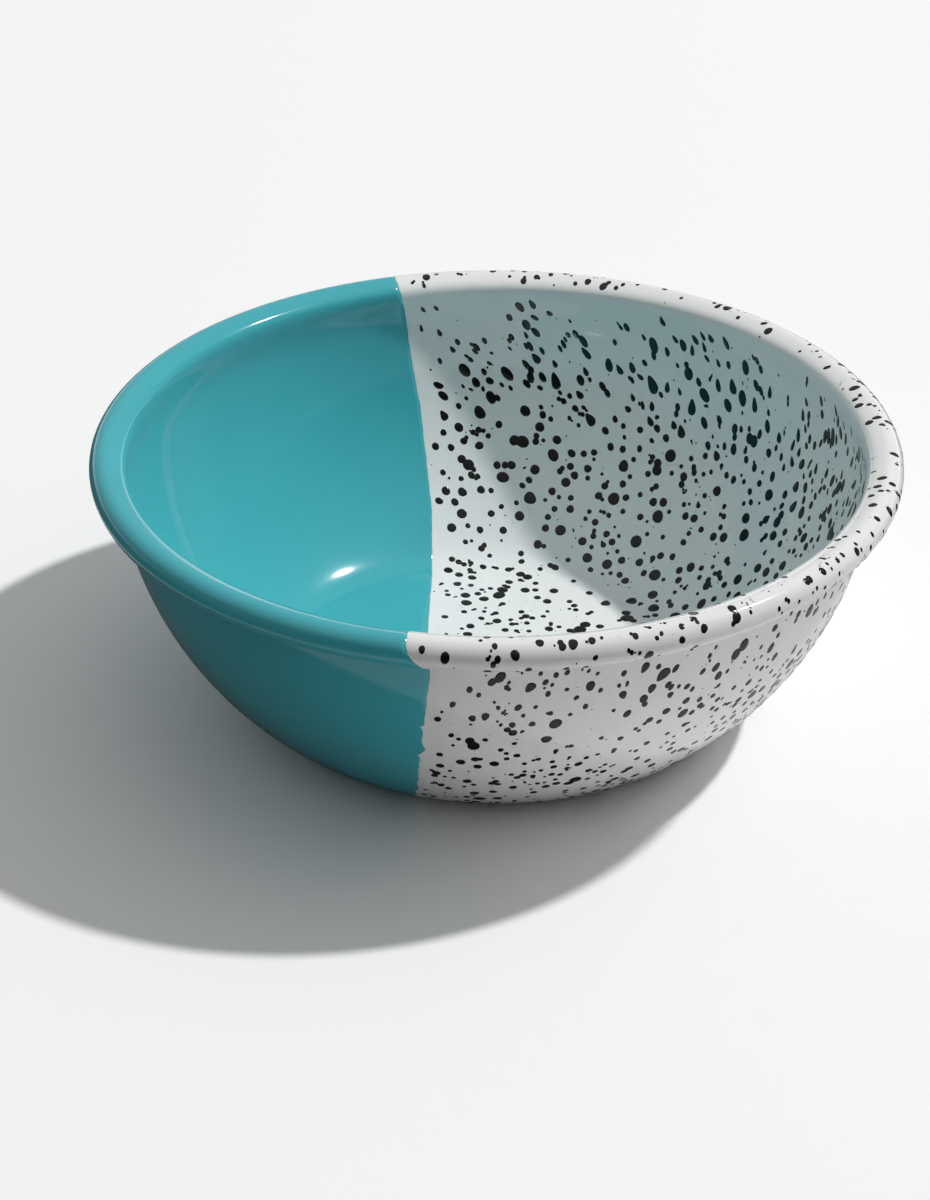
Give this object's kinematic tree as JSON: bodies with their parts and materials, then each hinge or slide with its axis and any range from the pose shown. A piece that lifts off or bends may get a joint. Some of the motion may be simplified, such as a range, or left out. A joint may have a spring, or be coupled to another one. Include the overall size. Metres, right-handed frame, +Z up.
{
  "type": "salad bowl",
  "caption": "Round enamelled steel salad bowl with a flat base, curved wall and rolled rim, part turquoise and part black-speckled white.",
  "frame": {"origin": "centre of the flat base, on the surface that the bowl stands on", "axes": "+Z up along the bowl's axis; +X square to the colour seam, pointing to the white side"},
  "size_m": [0.2598, 0.2598, 0.0915],
  "materials": {
    "steel": "satin",
    "turquoise_enamel": "polished",
    "white_enamel": "polished",
    "black_speckle": "polished"
  },
  "bodies": {
    "root": {"steel_shell": "steel", "turquoise_enamel": "turquoise_enamel", "white_enamel": "white_enamel"}
  },
  "joints": []
}
